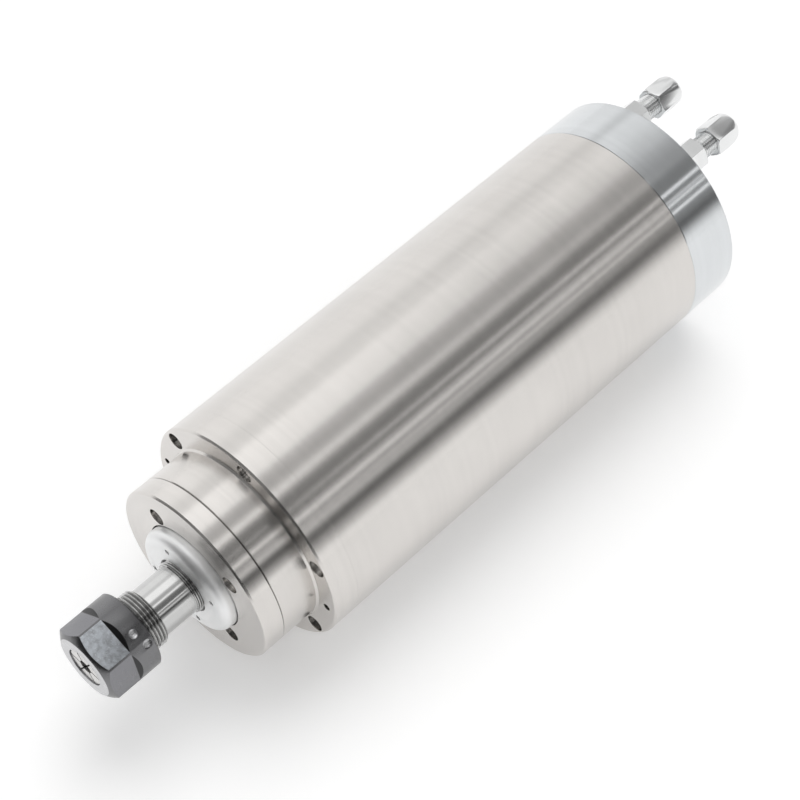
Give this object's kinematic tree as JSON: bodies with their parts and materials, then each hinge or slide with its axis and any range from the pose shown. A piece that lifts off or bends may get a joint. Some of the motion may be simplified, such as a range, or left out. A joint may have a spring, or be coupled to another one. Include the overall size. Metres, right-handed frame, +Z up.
{
  "type": "motor spindle",
  "caption": "Water-cooled cylindrical motor spindle with a stepped flange nose, collet chuck nut and two hose fittings on the rear cover.",
  "frame": {"origin": "on the spindle axis, in the middle of the ground length that a body clamp holds", "axes": "+Y along the spindle axis from the tool end to the rear cover, +Z up between the two water fittings, the spindle lying level"},
  "size_m": [0.1, 0.3529, 0.1],
  "materials": {
    "jacket_steel": "fine turned, satin",
    "rear_cover_steel": "turned and polished",
    "shaft_steel": "ground and polished",
    "black_oxide": "black oxide on turned steel",
    "screw_steel": "plain steel",
    "collet_steel": "ground spring steel",
    "nickel_plate": "bright nickel plating",
    "brass": "plain turned brass",
    "sleeve_metal": "machined",
    "laminations": "stacked electrical steel",
    "copper_winding": "varnished copper wire",
    "rotor_aluminium": "cast",
    "bearing_steel": "ground bearing steel",
    "cage_plastic": "fabric-filled resin",
    "spring_steel": "hardened spring steel",
    "seal_rubber": "black nitrile rubber",
    "washer_nylon": "sealing nylon",
    "insulator_plastic": "moulded black resin",
    "pin_gold": "gold flash on brass"
  },
  "bodies": {
    "housing": {"outer_jacket": "jacket_steel", "front_bearing_housing": "jacket_steel", "flange_screws": "screw_steel", "front_cover": "jacket_steel", "front_cover_screws": "screw_steel", "cooling_sleeve": "sleeve_metal", "sleeve_o_rings": "seal_rubber", "stator_core": "laminations", "stator_winding": "copper_winding", "front_bearing_1_outer_ring": "bearing_steel", "front_bearing_2_outer_ring": "bearing_steel", "outer_spacer": "bearing_steel", "rear_bearing_housing": "sleeve_metal", "rear_bearing_housing_screws": "screw_steel", "rear_bearing_outer_ring": "bearing_steel", "preload_disc_springs": "spring_steel", "rear_cover": "rear_cover_steel", "rear_cover_screws": "screw_steel", "left_fitting_body": "nickel_plate", "right_fitting_body": "nickel_plate", "sealing_washers": "washer_nylon", "connector_shell": "nickel_plate", "connector_insulator": "insulator_plastic", "connector_pins": "pin_gold", "connector_screws": "screw_steel"},
    "rotor": {"spindle_shaft": "shaft_steel", "rotor_core": "laminations", "rotor_end_rings": "rotor_aluminium", "front_bearing_1_inner_ring": "bearing_steel", "front_bearing_2_inner_ring": "bearing_steel", "inner_spacer": "bearing_steel", "rear_bearing_inner_ring": "bearing_steel", "rear_lock_nut": "spring_steel", "dust_cap": "shaft_steel", "balance_screws": "screw_steel"},
    "front_ball_set_1": {"front_bearing_1_balls": "bearing_steel", "front_bearing_1_cage": "cage_plastic"},
    "front_ball_set_2": {"front_bearing_2_balls": "bearing_steel", "front_bearing_2_cage": "cage_plastic"},
    "rear_ball_set": {"rear_bearing_balls": "bearing_steel", "rear_bearing_cage": "cage_plastic"},
    "collet": {"collet": "collet_steel"},
    "collet_nut": {"collet_nut": "black_oxide"},
    "left_ferrule": {"left_ferrule": "brass"},
    "left_hose_nut": {"left_hose_nut": "nickel_plate"},
    "right_ferrule": {"right_ferrule": "brass"},
    "right_hose_nut": {"right_hose_nut": "nickel_plate"}
  },
  "joints": [
    {"name": "spindle_spin", "type": "hinge", "parent": "housing", "child": "rotor", "pos_m": [0, 0, 0], "axis": [0, 1, 0], "continuous": true},
    {"name": "front_ball_set_1_spin", "type": "hinge", "parent": "housing", "child": "front_ball_set_1", "pos_m": [0, 0, 0], "axis": [0, 1, 0], "continuous": true},
    {"name": "front_ball_set_2_spin", "type": "hinge", "parent": "housing", "child": "front_ball_set_2", "pos_m": [0, 0, 0], "axis": [0, 1, 0], "continuous": true},
    {"name": "rear_ball_set_spin", "type": "hinge", "parent": "housing", "child": "rear_ball_set", "pos_m": [0, 0, 0], "axis": [0, 1, 0], "continuous": true},
    {"name": "collet_slide", "type": "slide", "parent": "rotor", "child": "collet", "axis": [0, -1, 0], "range_m": [0, 0.012]},
    {"name": "collet_nut_turn", "type": "hinge", "parent": "collet", "child": "collet_nut", "pos_m": [0, -0.182, 0], "axis": [0, -1, 0], "range_deg": [0, 2880]},
    {"name": "left_ferrule_slide", "type": "slide", "parent": "housing", "child": "left_ferrule", "axis": [0, 1, 0], "range_m": [0, 0.004]},
    {"name": "left_hose_nut_turn", "type": "hinge", "parent": "left_ferrule", "child": "left_hose_nut", "pos_m": [-0.01576, 0.15, 0.03458], "axis": [0, 1, 0], "range_deg": [0, 1440]},
    {"name": "right_ferrule_slide", "type": "slide", "parent": "housing", "child": "right_ferrule", "axis": [0, 1, 0], "range_m": [0, 0.004]},
    {"name": "right_hose_nut_turn", "type": "hinge", "parent": "right_ferrule", "child": "right_hose_nut", "pos_m": [0.01546, 0.15, 0.03472], "axis": [0, 1, 0], "range_deg": [0, 1440]}
  ],
  "couplings": [
    {"joint": "front_ball_set_1_spin", "follows": "spindle_spin", "ratio": 0.4155},
    {"joint": "front_ball_set_2_spin", "follows": "spindle_spin", "ratio": 0.4155},
    {"joint": "rear_ball_set_spin", "follows": "spindle_spin", "ratio": 0.4127},
    {"joint": "collet_nut_turn", "follows": "collet_slide", "rad_per_m": 4188.8},
    {"joint": "left_hose_nut_turn", "follows": "left_ferrule_slide", "rad_per_m": 6283.2},
    {"joint": "right_hose_nut_turn", "follows": "right_ferrule_slide", "rad_per_m": 6283.2}
  ]
}
